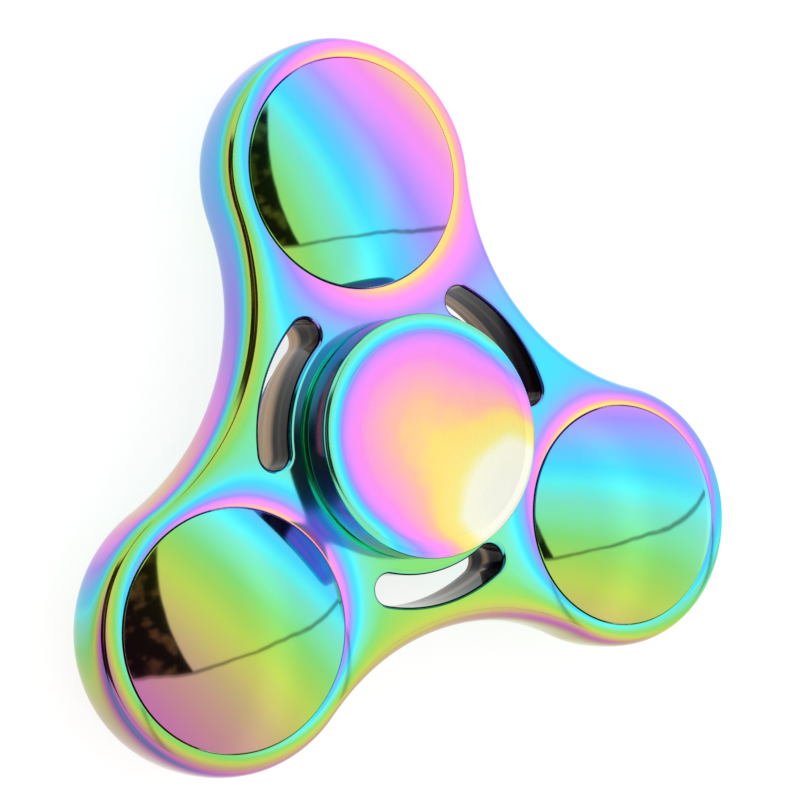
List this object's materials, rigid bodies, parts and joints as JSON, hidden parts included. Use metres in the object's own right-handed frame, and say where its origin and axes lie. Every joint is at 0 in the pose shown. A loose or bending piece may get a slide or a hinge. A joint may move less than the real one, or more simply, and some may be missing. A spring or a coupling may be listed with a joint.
{
  "type": "fidget spinner",
  "caption": "Tri-lobe metal hand spinner with dished finger buttons on a centre ball bearing, domed lobe covers and curved slots.",
  "frame": {"origin": "middle of the centre bearing, which is the centre of mass", "axes": "+Z along the spin axis out of the front button, +Y through the middle of lobe 1, +X to the right seen from the front"},
  "size_m": [0.072, 0.066, 0.0156],
  "materials": {
    "iridescent_body": "polished zinc casting with a rainbow interference coating",
    "iridescent_cover": "mirror polished dome with a rainbow interference coating",
    "iridescent_button": "polished side and lip, satin dish, rainbow interference coating",
    "bearing_steel": "ground",
    "ball_steel": "lapped",
    "cage_steel": "pressed sheet",
    "shield_steel": "pressed sheet",
    "weight_steel": "turned"
  },
  "bodies": {
    "hub": {"front_button": "iridescent_button", "rear_button": "iridescent_button", "bearing_inner_ring": "bearing_steel"},
    "rotor": {"tri_lobe_frame": "iridescent_body", "bearing_outer_ring": "bearing_steel", "bearing_shield_front": "shield_steel", "bearing_shield_rear": "shield_steel", "lobe_weight_1": "weight_steel", "lobe_weight_2": "weight_steel", "lobe_weight_3": "weight_steel", "lobe_cover_1_front": "iridescent_cover", "lobe_cover_1_rear": "iridescent_cover", "lobe_cover_2_front": "iridescent_cover", "lobe_cover_2_rear": "iridescent_cover", "lobe_cover_3_front": "iridescent_cover", "lobe_cover_3_rear": "iridescent_cover"},
    "ball_cage": {"ball_cage_half_front": "cage_steel", "ball_cage_half_rear": "cage_steel"},
    "ball_1": {"bearing_ball_1": "ball_steel"},
    "ball_2": {"bearing_ball_2": "ball_steel"},
    "ball_3": {"bearing_ball_3": "ball_steel"},
    "ball_4": {"bearing_ball_4": "ball_steel"},
    "ball_5": {"bearing_ball_5": "ball_steel"},
    "ball_6": {"bearing_ball_6": "ball_steel"},
    "ball_7": {"bearing_ball_7": "ball_steel"}
  },
  "joints": [
    {"name": "rotor_spin", "type": "hinge", "parent": "hub", "child": "rotor", "pos_m": [0, 0, 0], "axis": [0, 0, 1], "continuous": true},
    {"name": "cage_spin", "type": "hinge", "parent": "hub", "child": "ball_cage", "pos_m": [0, 0, 0], "axis": [0, 0, 1], "continuous": true},
    {"name": "ball_1_roll", "type": "hinge", "parent": "ball_cage", "child": "ball_1", "pos_m": [0.0075, 0, 0], "axis": [0, 0, 1], "continuous": true},
    {"name": "ball_2_roll", "type": "hinge", "parent": "ball_cage", "child": "ball_2", "pos_m": [0.00468, 0.00586, 0], "axis": [0, 0, 1], "continuous": true},
    {"name": "ball_3_roll", "type": "hinge", "parent": "ball_cage", "child": "ball_3", "pos_m": [-0.00167, 0.00731, 0], "axis": [0, 0, 1], "continuous": true},
    {"name": "ball_4_roll", "type": "hinge", "parent": "ball_cage", "child": "ball_4", "pos_m": [-0.00676, 0.00325, 0], "axis": [0, 0, 1], "continuous": true},
    {"name": "ball_5_roll", "type": "hinge", "parent": "ball_cage", "child": "ball_5", "pos_m": [-0.00676, -0.00325, 0], "axis": [0, 0, 1], "continuous": true},
    {"name": "ball_6_roll", "type": "hinge", "parent": "ball_cage", "child": "ball_6", "pos_m": [-0.00167, -0.00731, 0], "axis": [0, 0, 1], "continuous": true},
    {"name": "ball_7_roll", "type": "hinge", "parent": "ball_cage", "child": "ball_7", "pos_m": [0.00468, -0.00586, 0], "axis": [0, 0, 1], "continuous": true}
  ],
  "couplings": [
    {"joint": "cage_spin", "follows": "rotor_spin", "ratio": 0.6323},
    {"joint": "ball_1_roll", "follows": "rotor_spin", "ratio": 1.7573},
    {"joint": "ball_2_roll", "follows": "rotor_spin", "ratio": 1.7573},
    {"joint": "ball_3_roll", "follows": "rotor_spin", "ratio": 1.7573},
    {"joint": "ball_4_roll", "follows": "rotor_spin", "ratio": 1.7573},
    {"joint": "ball_5_roll", "follows": "rotor_spin", "ratio": 1.7573},
    {"joint": "ball_6_roll", "follows": "rotor_spin", "ratio": 1.7573},
    {"joint": "ball_7_roll", "follows": "rotor_spin", "ratio": 1.7573}
  ]
}
